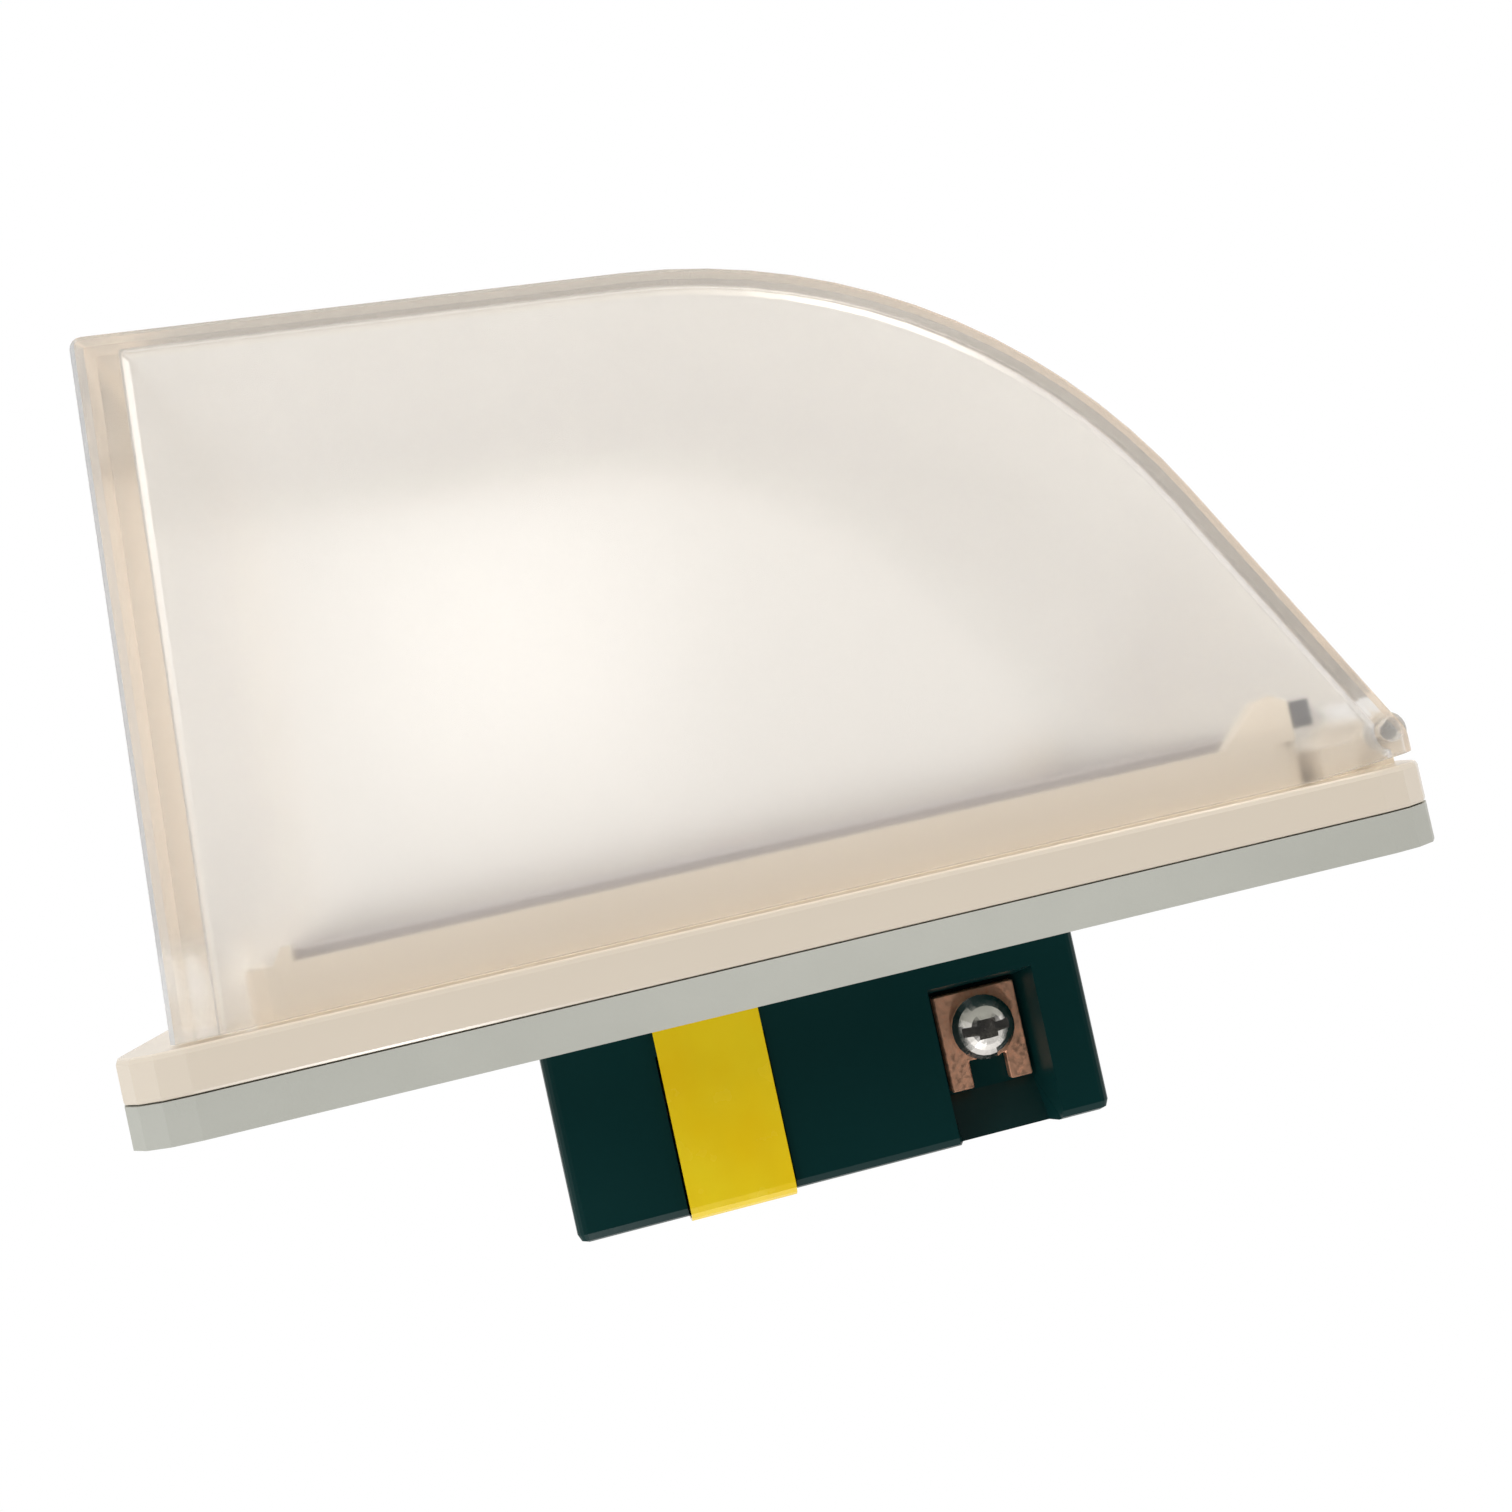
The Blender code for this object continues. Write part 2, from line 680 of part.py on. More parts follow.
def frame_screws():
    """Flat-head screws through the frame's floor into the yoke."""
    for name, z in zip(("top", "bottom"), plate_screw_places()):
        head = FRAME_THICKNESS - 0.4
        profile = ((1.3, -3.4), (1.6, -3.1), (1.6, head - 2.1), (3.8, head), (3.3, head + 0.35))
        screw = turned("FORWARD", (0, FRAME_BACK, z), profile, 20)
        slot = block((-0.5, 0.5), (FRAME_BACK + head - 0.9, FRAME_BACK + head + 2), (z - 5, z + 5))
        finish(f"frame_screw_{name}", cut(screw, slot), cream_plastic())


def yoke_outline(clearance):
    """The yoke's plate and its ear strip, as two overlapping rectangles."""
    plate_part = rounded_rectangle(
        YOKE_PLATE_WIDTH + 2 * clearance, YOKE_PLATE_LENGTH + 2 * clearance, 1.5, DEVICE_Z)
    ears = rounded_rectangle(YOKE_EAR_WIDTH + 2 * clearance, YOKE_LENGTH + 2 * clearance, 3.0, DEVICE_Z)
    return plate_part, ears


def wall_gasket():
    body = plate(rounded_rectangle(FRAME_WIDTH, FRAME_LENGTH, FRAME_CORNER), 0.0, GASKET_THICKNESS)
    width, length = BODY_WIDTH + 2 * BODY_CLEARANCE, BODY_LENGTH + 2 * BODY_CLEARANCE
    opening = plate(rounded_rectangle(width, length, 2.0, DEVICE_Z), -1.0, GASKET_THICKNESS + 1)
    pocket = [plate(o, YOKE_BACK - PIECE_GAP, GASKET_THICKNESS + 1) for o in yoke_outline(0.5)]
    holes = [cylinder("FORWARD", (0, 0, z), 2.4, -1, 8, 16) for z in plate_screw_places()]
    finish("wall_gasket", cut(body, opening, *pocket, *holes), grey_rubber())


# ------------------------------------------------------------ receptacle: outside

def blade_places():
    """(outlet name, height of its blade slots, height of its ground hole)."""
    places = []
    for name, z in OUTLETS.items():
        ground = DEVICE_Z + z + GROUND_FROM_OUTLET
        places.append((name, ground - BLADE_TO_GROUND, ground))
    return places


def assembly_places():
    return [
        (f"{row}_{name}", side * ASSEMBLY_SCREW_X, DEVICE_Z + end * ASSEMBLY_SCREW_Z)
        for row, end in (("upper", 1), ("lower", -1)) for name, side in SIDES.items()
    ]


def button_places():
    return {"test_button": DEVICE_Z + BUTTON_OFFSET, "reset_button": DEVICE_Z - BUTTON_OFFSET}


def yoke():
    wide, ears = yoke_outline(0.0)
    body = join(plate(wide, YOKE_BACK, YOKE_FRONT), plate(ears, YOKE_BACK, YOKE_FRONT))
    tab_z = GROUND_TAB_Z
    tab = block((-4.5, 4.5), (-13.0, YOKE_BACK + 0.5), (tab_z, tab_z + YOKE_THICKNESS))
    low, high = YOKE_BACK - 1, YOKE_FRONT + 1
    cutters = []
    for _, blades, ground in blade_places():
        for side in SIDES.values():
            middle = side * BUS_X
            cutters.append(block((middle - 3.4, middle + 3.4), (low, high), (blades - 5.2, blades + 5.2)))
        cutters.append(cylinder("FORWARD", (0, 0, ground), 3.3, low, high, 16))
    for _, x, z in assembly_places():
        cutters.append(cylinder("FORWARD", (x, 0, z), ASSEMBLY_SCREW_RADIUS + 0.4, low, high, 12))
    for z in button_places().values():
        cutters.append(cylinder("FORWARD", (0, 0, z), 1.5, low, high, 12))
    for z in plate_screw_places():
        cutters.append(cylinder("FORWARD", (0, 0, z), 1.9, low, high, 12))
    for side in (1, -1):
        z = DEVICE_Z + side * DEVICE_SCREW_SPACING / 2
        cutters.append(plate(rounded_rectangle(7.0, 4.4, 2.1, z), low, high))
    cutters.append(cylinder("Z", (0, GROUND_SCREW_FORWARD, tab_z), 2.1, -2, 4, 16))
    finish("yoke", cut(join(body, tab), *cutters), steel())


def ground_terminal():
    """The hex-head screw and its clamp plate on the yoke's tab, in the body's upper end."""
    low = GROUND_TAB_Z + YOKE_THICKNESS + PIECE_GAP
    hole = cylinder("Z", (0, GROUND_SCREW_FORWARD, low), 2.0, -1, 3, 16)
    clamp = block((-4.3, 4.3), (GROUND_SCREW_FORWARD - 4.3, GROUND_SCREW_FORWARD + 4.3), (low, low + 1.0))
    finish("ground_clamp", cut(clamp, hole), steel(), (0, GROUND_SCREW_FORWARD, low))
    seat = low + 1.0 + PIECE_GAP
    centre = (0, GROUND_SCREW_FORWARD, seat)
    shank = cylinder("Z", centre, 1.7, -5.0, 0.5, 16)
    head = cylinder("Z", centre, 3.7, 0.0, 2.0, 6)
    slot = block((-5, 5), (GROUND_SCREW_FORWARD - 0.5, GROUND_SCREW_FORWARD + 0.5), (seat + 1.2, seat + 4))
    screw = cut(join(head, shank), slot)
    finish("ground_screw", screw, material("green_zinc", (0.05, 0.35, 0.15), 0.3, 0.9), centre)


def pocket_cutter(side, z):
    """The terminal pocket: wide at its mouth, with a ramp out through the body's back."""
    mouth = side * (BODY_WIDTH / 2 + 0.5)
    floor = side * POCKET_FLOOR_X
    ramp = side * (BODY_WIDTH / 2 - POCKET_RAMP_DEPTH)
    wide, narrow = POCKET_WIDTH / 2, POCKET_FLOOR_WIDTH / 2
    top, floor_top = TERMINAL_TOP, TERMINAL_TOP - POCKET_SLANT
    ramp_top = BODY_BACK + POCKET_RAMP_LENGTH
    low = BODY_BACK - 1.0
    outer = [place(mouth, top, z - wide), place(mouth, top, z + wide),
             place(mouth, low, z + wide), place(mouth, low, z - wide)]
    upper = [place(floor, floor_top, z - narrow), place(floor, floor_top, z + narrow)]
    middle = [place(floor, ramp_top, z + narrow), place(floor, ramp_top, z - narrow)]
    lower = [place(ramp, low, z + narrow), place(ramp, low, z - narrow)]
    shape = bmesh.new()
    o = [shape.verts.new(p) for p in outer]
    u = [shape.verts.new(p) for p in upper]
    m = [shape.verts.new(p) for p in middle]
    w = [shape.verts.new(p) for p in lower]
    faces = [
        (o[0], o[1], o[2], o[3]), (u[0], u[1], m[0], m[1]), (m[0], w[0], w[1], m[1]),
        (o[0], o[1], u[1], u[0]), (w[0], o[2], o[3], w[1]),
        (o[1], o[2], w[0], m[0], u[1]), (o[0], o[3], w[1], m[1], u[0]),
    ]
    for face in faces:
        shape.faces.new(face)
    bmesh.ops.recalc_face_normals(shape, faces=shape.faces)
    bmesh.ops.triangulate(shape, faces=shape.faces)
    return shape


def terminal_places():
    return [
        (f"{row}_{name}", side, DEVICE_Z + z)
        for row, z in TERMINALS.items() for name, side in SIDES.items()
    ]


def back_body():
    middle = DEVICE_Z
    outer = plate(rounded_rectangle(BODY_WIDTH, BODY_LENGTH, BODY_ROUND, middle), BODY_BACK, BODY_TOP)
    outer = round_edges(outer, BODY_ROUND, 2, at_forward(BODY_BACK))
    hollow = plate(
        rounded_rectangle(BODY_WIDTH - 2 * BODY_WALL, BODY_LENGTH - 2 * BODY_WALL, 0.6, middle),
        BODY_BACK + BODY_WALL, BODY_TOP + 1,
    )
    inner = cut(outer, hollow)
    floor = BODY_BACK + 0.6
    posts = []
    bores = []
    for _, x, z in assembly_places():
        posts.append(cylinder("FORWARD", (x, 0, z), POST_RADIUS, floor, BODY_TOP, 16))
        hole = ASSEMBLY_SCREW_RADIUS + PIECE_GAP
        bore = ((2.6, -1.0), (2.6, 1.6), (hole, 1.6), (hole, BODY_DEPTH + BODY_TOP + 1.7))
        bores.append(turned("FORWARD", (x, BODY_BACK, z), bore, 16))
    added = []
    cutters = []
    for _, side, z in terminal_places():
        reach = sorted((side * POCKET_WALL_X, side * (BODY_WIDTH / 2 - 0.6)))
        width = POCKET_WIDTH / 2 + 1.2
        added.append(block(reach, (floor, TERMINAL_TOP + 1.6), (z - width, z + width)))
        cutters.append(pocket_cutter(side, z))
        ends = sorted((side * (POCKET_WALL_X - 1), side * (POCKET_FLOOR_X + 1)))
        cutters.append(cylinder("X", (0, TERMINAL_SCREW_FORWARD, z), SCREW_SHANK_RADIUS + 0.4, *ends, 16))
    end_z = middle + BODY_LENGTH / 2
    pocket_low = GROUND_TAB_Z - PIECE_GAP
    added.append(block((-7.2, 7.2), (-17.6, BODY_TOP), (pocket_low - 1.5, end_z - 0.6)))
    cutters.append(block((-5.6, 5.6), (-16.0, BODY_TOP + 1), (pocket_low, end_z + 1)))
    cutters.append(cylinder("Z", (0, GROUND_SCREW_FORWARD, pocket_low), 2.1, -3.0, 1.0, 16))
    shape = cut(join(inner, *added), *cutters)
    finish("back_body", cut(join(shape, *posts), *bores), green_plastic())


def clamp_plates():
    """The plates under the terminal screws, each with a notch for the wire."""
    top = TERMINAL_TOP - POCKET_SLANT - 0.3
    for name, side, z in terminal_places():
        low_x = side * (POCKET_FLOOR_X + PIECE_GAP)
        reach = sorted((low_x, low_x + side * CLAMP_THICKNESS))
        half = CLAMP_WIDTH / 2
        body = block(reach, (top - CLAMP_HEIGHT, top), (z - half, z + half))
        notch = CLAMP_NOTCH_WIDTH / 2
        cutters = [
            block((-30, 30), (top - CLAMP_HEIGHT - 1, top - CLAMP_HEIGHT + CLAMP_NOTCH_HEIGHT), (z - notch, z + notch)),
            cylinder("X", (0, TERMINAL_SCREW_FORWARD, z), SCREW_SHANK_RADIUS + PIECE_GAP, -30, 30, 16),
        ]
        clamp = round_edges(cut(body, *cutters), CLAMP_EDGE_ROUND, 1, is_sharp)
        finish(f"clamp_{name}", clamp, copper(), (low_x, TERMINAL_SCREW_FORWARD, z))


def terminal_screws():
    """Pan-head screws with a slot and a square recess."""
    for name, side, z in terminal_places():
        seat = POCKET_FLOOR_X + PIECE_GAP + CLAMP_THICKNESS + PIECE_GAP
        dome_rise = SCREW_HEAD_HEIGHT - SCREW_RIM_HEIGHT
        dome_radius = (SCREW_HEAD_RADIUS ** 2 + dome_rise ** 2) / (2 * dome_rise)
        profile = [
            (SCREW_SHANK_RADIUS - 0.3, -4.9), (SCREW_SHANK_RADIUS, -4.6), (SCREW_SHANK_RADIUS, 0.0),
            (SCREW_HEAD_RADIUS, 0.0),
        ]
        for share in (1.0, 0.85, 0.68, 0.5, 0.3):
            radius = share * SCREW_HEAD_RADIUS
            sink = dome_radius - math.sqrt(dome_radius ** 2 - radius ** 2)
            profile.append((radius, SCREW_HEAD_HEIGHT - sink))
        centre = (0, TERMINAL_SCREW_FORWARD, z)
        screw = turned("X", centre, [(r, d + seat) for r, d in profile], 24)
        top = seat + SCREW_HEAD_HEIGHT
        slot_low = TERMINAL_SCREW_FORWARD - 0.6
        slot = block((top - 1.1, top + 1), (slot_low, slot_low + 1.2), (z - 5, z + 5))
        square = block((top - 2.1, top + 1), (TERMINAL_SCREW_FORWARD - 1.2, TERMINAL_SCREW_FORWARD + 1.2), (z - 1.2, z + 1.2))
        screw = cut(screw, slot, square)
        if side < 0:
            bmesh.ops.scale(screw, verts=screw.verts, vec=(-1, 1, 1))
            bmesh.ops.reverse_faces(screw, faces=screw.faces)
        look = nickel() if side > 0 else brass()
        finish(f"terminal_screw_{name}", screw, look, (side * seat, TERMINAL_SCREW_FORWARD, z))


def load_tape():
    """The tape over the load terminals, wrapped round the body's back."""
    inner = BODY_WIDTH / 2 + PIECE_GAP
    outer = inner + TAPE_THICKNESS
    back_in, back_out = BODY_BACK - PIECE_GAP, BODY_BACK - PIECE_GAP - TAPE_THICKNESS
    top = -0.6
    bend = BODY_ROUND + PIECE_GAP
    outline = rounded([
        (-outer, top, 0), (-outer, back_out, bend + TAPE_THICKNESS), (outer, back_out, bend + TAPE_THICKNESS),
        (outer, top, 0), (inner, top, 0), (inner, back_in, bend), (-inner, back_in, bend), (-inner, top, 0),
    ])
    middle = DEVICE_Z + LOAD_TERMINAL_Z
    rows = [[place(x, forward, z) for x, forward in outline] for z in (middle - TAPE_WIDTH / 2, middle + TAPE_WIDTH / 2)]
    finish("load_tape", loft(rows), yellow_tape())


def assembly_screws():
    for name, x, z in assembly_places():
        length = FACE_FRONT - 1.6 - BODY_BACK
        profile = ((2.3, 0.1), (2.3, 1.2), (ASSEMBLY_SCREW_RADIUS, 1.2), (ASSEMBLY_SCREW_RADIUS, length))
        screw = turned("FORWARD", (x, BODY_BACK, z), profile, 16)
        slot = block((x - 0.4, x + 0.4), (BODY_BACK - 1, BODY_BACK + 0.7), (z - 4, z + 4))
        finish(f"assembly_screw_{name}", cut(screw, slot), nickel())


# ------------------------------------------------------------ receptacle: face

def face():
    middle = DEVICE_Z
    outer = plate(rounded_rectangle(FACE_WIDTH, FACE_LENGTH, FACE_ROUND, middle), FACE_BACK, FACE_FRONT)
    outer = round_edges(outer, FACE_ROUND, 2, at_forward(FACE_FRONT))
    wall = 1.8
    hollow = block(
        (-FACE_WIDTH / 2 + wall, FACE_WIDTH / 2 - wall), (FACE_BACK - 1, FACE_INNER),
        (middle - FACE_LENGTH / 2 + wall, middle + FACE_LENGTH / 2 - wall),
    )
    posts = []
    cutters = []
    for _, x, z in assembly_places():
        posts.append(cylinder("FORWARD", (x, 0, z), POST_RADIUS, FACE_BACK, FACE_INNER + 0.5, 16))
        hole = ASSEMBLY_SCREW_RADIUS + PIECE_GAP
        cutters.append(cylinder("FORWARD", (x, 0, z), hole, FACE_BACK - 1, FACE_FRONT - 1.2, 12))
    low, high = FACE_INNER - 1, FACE_FRONT + 1
    for _, blades, ground in blade_places():
        for side, length in ((1, NEUTRAL_SLOT), (-1, HOT_SLOT)):
            x = side * BUS_X
            cutters.append(block((x - SLOT_WIDTH / 2, x + SLOT_WIDTH / 2), (low, high), (blades - length / 2, blades + length / 2)))
        cutters.append(cylinder("FORWARD", (0, 0, ground), GROUND_HOLE_RADIUS, low, high, 20))
    width, length = BUTTON_WIDTH + 2 * BUTTON_CLEARANCE, BUTTON_LENGTH + 2 * BUTTON_CLEARANCE
    for z in button_places().values():
        cutters.append(block((-width / 2, width / 2), (low, high), (z - length / 2, z + length / 2)))
    cutters.append(cylinder("FORWARD", (LENS_X, 0, middle), LENS_RADIUS + PIECE_GAP, low, high, 16))
    finish("face", cut(join(cut(outer, hollow), *posts), *cutters), cream_plastic())


def buttons():
    """Each button: cap, flange behind the face, and a stem through the yoke."""
    stems = {"test_button": 0.0, "reset_button": -13.0}
    looks = {"test_button": black_plastic(), "reset_button": red_plastic()}
    front = FACE_FRONT + BUTTON_PROUD
    flange_front = FACE_INNER - PIECE_GAP
    flange_back = flange_front - BUTTON_FLANGE
    for name, z in button_places().items():
        cap = plate(rounded_rectangle(BUTTON_WIDTH, BUTTON_LENGTH, 0.5, z), flange_back + 0.2, front)
        cap = round_edges(cap, 0.4, 1, at_forward(front))
        flange = plate(rounded_rectangle(BUTTON_WIDTH + 2.2, BUTTON_LENGTH + 1.4, 0.5, z), flange_back, flange_front)
        stem = cylinder("FORWARD", (0, 0, z), 1.1, stems[name], flange_back + 0.3, 12)
        finish(name, join(cap, flange, stem), looks[name], (0, front, z))
        spring_low = YOKE_FRONT + PIECE_GAP
        length = flange_back - PIECE_GAP - spring_low
        spring = coil((0, spring_low, z), "FORWARD", 1.9, 0.25, length, 2.5)
        finish(name.replace("button", "spring"), spring, steel(), (0, spring_low, z))


def indicator_lens():
    profile = ((LENS_RADIUS + 0.7, FACE_INNER - 1.2), (LENS_RADIUS + 0.7, FACE_INNER - PIECE_GAP),
               (LENS_RADIUS, FACE_INNER - PIECE_GAP), (LENS_RADIUS, FACE_FRONT + 0.2), (0.6, FACE_FRONT + 0.6))
    finish("indicator_lens", turned("FORWARD", (LENS_X, 0, DEVICE_Z), profile, 16), lens_plastic())


def shutters():
    """Sliding plates behind the blade slots, each pushed back by a spring."""
    front = FACE_INNER - PIECE_GAP
    back = front - SHUTTER_THICKNESS
    reach = BUS_X + SLOT_WIDTH / 2
    for name, blades, _ in blade_places():
        half = NEUTRAL_SLOT / 2 + 0.4
        body = block((-reach - 0.35, reach + 0.2), (back, front), (blades - half - 0.6, blades + half + 0.6))
        window_x = BUS_X - SHUTTER_TRAVEL
        window = block((window_x - 1.5, window_x + 1.5), (back - 1, front + 1), (blades - half, blades + half))
        finish(f"shutter_{name}", cut(body, window), black_plastic(), (0, back, blades))
        spring_low = reach + 0.2 + PIECE_GAP
        length = FACE_WIDTH / 2 - 1.8 - PIECE_GAP - spring_low
        spring = coil((spring_low, (back + front) / 2, blades), "X", 0.55, 0.14, length, 7, 8, 4)
        finish(f"shutter_spring_{name}", spring, steel(), (spring_low, back, blades))


# ------------------------------------------------------------ receptacle: inside

def blade_buses():
    """The neutral and hot strips with their blade clips, load tab and fixed contact."""
    strip = (BUS_FORWARD, BUS_FORWARD + BUS_THICKNESS)
    for name, side in (("neutral_bus", 1), ("hot_bus", -1)):
        low_z = DEVICE_Z - OUTLET_SPACING / 2 + BLADE_OFFSET - 4.4
        high_z = DEVICE_Z + OUTLET_SPACING / 2 + BLADE_OFFSET + 4.4
        body = block(sorted((side * (BUS_X - 3), side * (BUS_X + 3))), strip, (low_z, high_z))
        added = []
        for _, blades, _ in blade_places():
            for near in (-1.3 - BUS_THICKNESS, 1.3):
                x = side * BUS_X + near
                added.append(block((x, x + BUS_THICKNESS), (strip[0] + 0.3, YOKE_BACK - 0.6), (blades - 3, blades + 3)))
        contact_z = DEVICE_Z + CONTACT_Z
        tip = side * (CONTACT_X + 2)
        added.append(block(sorted((side * BUS_X, tip)), strip, (contact_z - 2, contact_z + 2)))
        added.append(cylinder("FORWARD", (side * CONTACT_X, 0, contact_z), 1.6, strip[0] - CONTACT_HEIGHT, strip[0] + 0.3, 16))
        load_z = DEVICE_Z + LOAD_TERMINAL_Z
        tab_x = sorted((side * (POCKET_WALL_X - 2.8), side * (POCKET_WALL_X - 1.6)))
        added.append(block(sorted((side * BUS_X, tab_x[1 if side > 0 else 0])), strip, (load_z - 3, load_z + 3)))
        added.append(block(tab_x, (-16.0, strip[1]), (load_z - 3, load_z + 3)))
        finish(name, join(body, *added), brass())


def ground_clips():
    """A U of spring brass round each ground hole, with two leaves for the pin."""
    for name, _, ground in blade_places():
        top = YOKE_BACK - PIECE_GAP
        low_z, high_z = ground - 4.2, ground + 0.9
        body = block((-3.9, 3.9), (top - 0.8, top), (low_z, high_z))
        hole = block((-2.7, 2.7), (top - 2, top + 1), (ground - 2.9, high_z + 1))
        leaves = [block((x, x + 0.75), (-4.0, top - 0.2), (ground - 2, high_z)) for x in (-3.7, 2.95)]
        finish(f"ground_clip_{name}", join(cut(body, hole), *leaves), brass())


def line_side():
    """The line brackets, and the moving arms that carry the contacts."""
    arm = (ARM_FORWARD - ARM_THICKNESS, ARM_FORWARD)
    contact_z = DEVICE_Z + CONTACT_Z
    pivot_z = contact_z + ARM_LENGTH
    terminal_z = DEVICE_Z + LINE_TERMINAL_Z
    for name, side in SIDES.items():
        reach = sorted((side * (CONTACT_X - 1.8), side * (CONTACT_X + 1.8)))
        body = block(reach, arm, (contact_z - 2, pivot_z + 0.4))
        tip = cylinder("FORWARD", (side * CONTACT_X, 0, contact_z), 1.6, arm[1] - 0.2, arm[1] + CONTACT_HEIGHT, 16)
        finish(f"contact_arm_{name}", join(body, tip), copper(), (0, arm[0], pivot_z))
        foot = block(reach, arm, (pivot_z + 0.9, terminal_z))
        tab_x = sorted((side * (POCKET_WALL_X - 2.8), side * (POCKET_WALL_X - 1.6)))
        upright = block(tab_x, (-16.0, arm[1]), (terminal_z - 4, terminal_z + 4))
        finish(f"line_bracket_{name}", join(foot, upright), brass())


def contact_lifter():
    top = ARM_FORWARD - ARM_THICKNESS - PIECE_GAP
    z = DEVICE_Z + CONTACT_Z
    body = block((-12.6, 12.6), (top - 1.9, top), (z - 2.2, z + 1.8))
    hole = cylinder("FORWARD", (0, 0, DEVICE_Z - BUTTON_OFFSET), 1.5, top - 4, top + 2, 12)
    finish("contact_lifter", cut(body, hole), black_plastic(), (0, top, z))


def circuit_board():
    body = block((-13.2, 13.2), (BOARD_FRONT - BOARD_THICKNESS, BOARD_FRONT), (DEVICE_Z - 26.5, DEVICE_Z + 26.5))
    finish("circuit_board", body, board_green())


def sense_transformer():
    low = BOARD_FRONT + PIECE_GAP
    centre = (0, low, DEVICE_Z - 16.0)
    body = cylinder("FORWARD", centre, 8.2, 0.0, 6.5, 28)
    finish("sense_transformer", cut(body, cylinder("FORWARD", centre, 2.6, -1, 8, 16)), black_plastic())


def board_parts():
    low = BOARD_FRONT + PIECE_GAP
    disc = cylinder("Z", (-5.0, low + 4.2, DEVICE_Z + 22.0), 4.0, 0.0, 2.6, 20)
    finish("surge_disc", disc, material("blue_epoxy", (0.05, 0.12, 0.45), 0.4))
    box = plate(rounded_rectangle(7.0, 5.6, 0.5, DEVICE_Z + 23.0), low, low + 6.5)
    bmesh.ops.translate(box, verts=box.verts, vec=(4.6, 0, 0))
    finish("filter_capacitor", box, material("amber_film", (0.70, 0.42, 0.08), 0.35))


def solenoid():
    """Coil, plunger, return spring and the fork that the plunger's neck pulls."""
    low = DEVICE_Z + COIL_LOW_Z
    centre = (0, COIL_FORWARD, low)
    flange = COIL_RADIUS + 0.4
    profile = ((flange, 0.0), (flange, 1.0), (COIL_RADIUS, 1.0), (COIL_RADIUS, COIL_LENGTH - 1.0),
               (flange, COIL_LENGTH - 1.0), (flange, COIL_LENGTH))
    bore = cylinder("Z", centre, PLUNGER_RADIUS + PIECE_GAP, -1, COIL_LENGTH + 1, 16)
    finish("solenoid_coil", cut(turned("Z", centre, profile, 20), bore), copper())
    nose = DEVICE_Z - 0.3
    neck_low, shoulder, collar = 0.8, 2.4, 3.2
    rod = ((PLUNGER_RADIUS, 0.0), (PLUNGER_RADIUS, neck_low), (NECK_RADIUS, neck_low), (NECK_RADIUS, shoulder),
           (2.7, shoulder), (2.7, collar), (PLUNGER_RADIUS, collar), (PLUNGER_RADIUS, 15.5))
    finish("solenoid_plunger", turned("Z", (0, COIL_FORWARD, nose), rod, 16), steel(), (0, COIL_FORWARD, nose))
    spring_low = nose + collar + PIECE_GAP
    spring = coil((0, COIL_FORWARD, spring_low), "Z", 2.1, 0.25, low - PIECE_GAP - spring_low, 3)
    finish("plunger_spring", spring, steel(), (0, COIL_FORWARD, spring_low))

    fork_top = COIL_FORWARD - PLUNGER_RADIUS - 0.4
    middle = nose + (neck_low + shoulder) / 2
    body = block((-4.0, 4.0), (fork_top - 1.0, fork_top), (DEVICE_Z - 6.0, middle + 0.45))
    post = block((-2.2, 2.2), (fork_top - 0.3, COIL_FORWARD + 1.2), (middle - 0.45, middle + 0.45))
    grip = NECK_RADIUS + 0.35
    neck_slot = block((-grip, grip), (COIL_FORWARD - grip, COIL_FORWARD + 3), (middle - 2, middle + 2))
    low_end = DEVICE_Z - BUTTON_OFFSET + 1.6
    stem_slot = block((-1.6, 1.6), (fork_top - 3, fork_top + 0.6), (DEVICE_Z - 8.0, low_end))
    fork = cut(join(body, post), neck_slot, stem_slot)
    finish("trip_fork", fork, steel(), (0, fork_top, middle))


def main():
    for old in list(bpy.data.objects):
        bpy.data.objects.remove(old)
    for make in (
        cover_shell, hinge_pin, base_frame, rim_seal, ear_pads, frame_screws, wall_gasket,
        yoke, ground_terminal, back_body, clamp_plates, terminal_screws, load_tape, assembly_screws,
        face, buttons, indicator_lens, shutters,
        blade_buses, ground_clips, line_side, contact_lifter, circuit_board, sense_transformer,
        board_parts, solenoid,
    ):
        make()


main()
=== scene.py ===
"""The looks of a weatherproof in-use cover on a ground-fault receptacle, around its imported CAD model.

Lengths are in metres. +Z runs up the wall towards the cover's hinge, -Y out of the wall, +X to the side.
"""

import json
import math

import bmesh
import bpy
from mathutils import Matrix, Vector

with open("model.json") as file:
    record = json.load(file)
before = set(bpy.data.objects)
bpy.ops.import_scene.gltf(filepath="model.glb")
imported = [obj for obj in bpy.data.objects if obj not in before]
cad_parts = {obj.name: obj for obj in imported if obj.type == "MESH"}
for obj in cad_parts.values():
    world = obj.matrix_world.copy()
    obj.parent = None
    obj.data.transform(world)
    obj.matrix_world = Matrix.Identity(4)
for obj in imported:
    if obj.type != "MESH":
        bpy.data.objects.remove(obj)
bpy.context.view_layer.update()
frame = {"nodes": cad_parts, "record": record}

# ---------------------------------------------------------------- camera

CAMERA_AT = Vector((0.22426, -0.02216, -0.03192))
CAMERA_FORWARD = Vector((-0.98662, -0.01996, 0.16184))
CAMERA_UP = Vector((0.05395, -0.97654, 0.20846))
CAMERA_LENS = 40.34
CAMERA_SENSOR = 36.0
CAMERA_CLIP = (0.01, 50.0)


def aimed(forward, up):
    """A rotation whose -Z looks along forward and whose Y is as near up as it can be."""
    back = -forward.normalized()
    right = up.cross(back).normalized()
    return Matrix((right, back.cross(right), back)).transposed().to_4x4()


